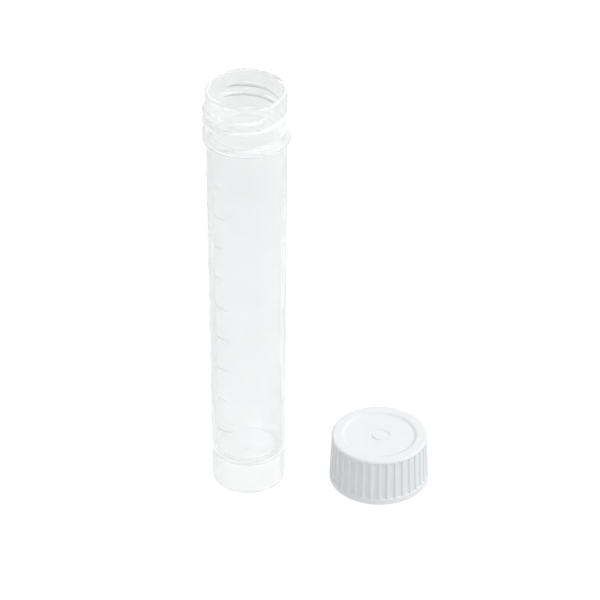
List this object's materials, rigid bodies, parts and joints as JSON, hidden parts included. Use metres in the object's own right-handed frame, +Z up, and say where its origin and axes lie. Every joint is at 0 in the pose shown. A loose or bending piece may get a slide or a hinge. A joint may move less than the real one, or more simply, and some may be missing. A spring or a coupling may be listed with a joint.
{
  "type": "test tube",
  "caption": "Tall translucent plastic screw-neck test tube on an open skirt foot, with its white ribbed screw cap standing beside it.",
  "frame": {"origin": "centre of the tube's base ring, on the table", "axes": "+Z up the tube's bore, +X from the tube towards the cap that stands beside it, -Y towards the viewer"},
  "size_m": [0.0457, 0.0204, 0.092],
  "materials": {
    "translucent_polypropylene": "natural translucent moulded polypropylene, slightly milky, semi-gloss",
    "white_polyethylene": "opaque white moulded polyethylene, satin"
  },
  "bodies": {
    "tube": {"tube_body": "translucent_polypropylene"},
    "cap": {"screw_cap": "white_polyethylene"}
  },
  "joints": [
    {"name": "cap_lift", "type": "slide", "parent": "tube", "child": "cap", "axis": [0, 0, 1], "range_m": [0, 0.1]}
  ]
}
